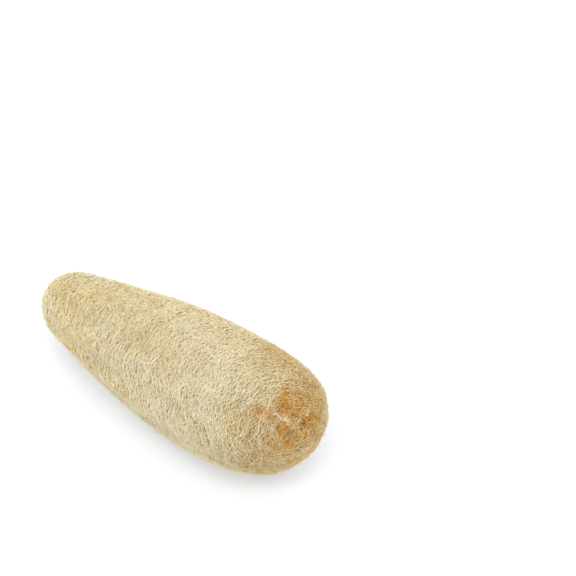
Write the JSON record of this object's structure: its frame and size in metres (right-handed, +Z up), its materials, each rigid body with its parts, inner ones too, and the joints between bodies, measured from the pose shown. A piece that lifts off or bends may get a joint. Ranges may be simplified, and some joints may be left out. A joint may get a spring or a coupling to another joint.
{
  "type": "natural loofah sponge",
  "caption": "Whole dried loofah gourd skeleton, a natural bath sponge, lying on its side with a net of raised fibres.",
  "frame": {"origin": "middle of the object's box at its lowest level, on the surface that it lies on", "axes": "+Z up; +X along the body from the narrow stem end to the wide blossom end; +Y sideways"},
  "size_m": [0.3156, 0.1088, 0.1073],
  "materials": {
    "loofah": "matt dry plant fibre, pale straw colour"
  },
  "bodies": {
    "root": {"loofah": "loofah"}
  },
  "joints": []
}
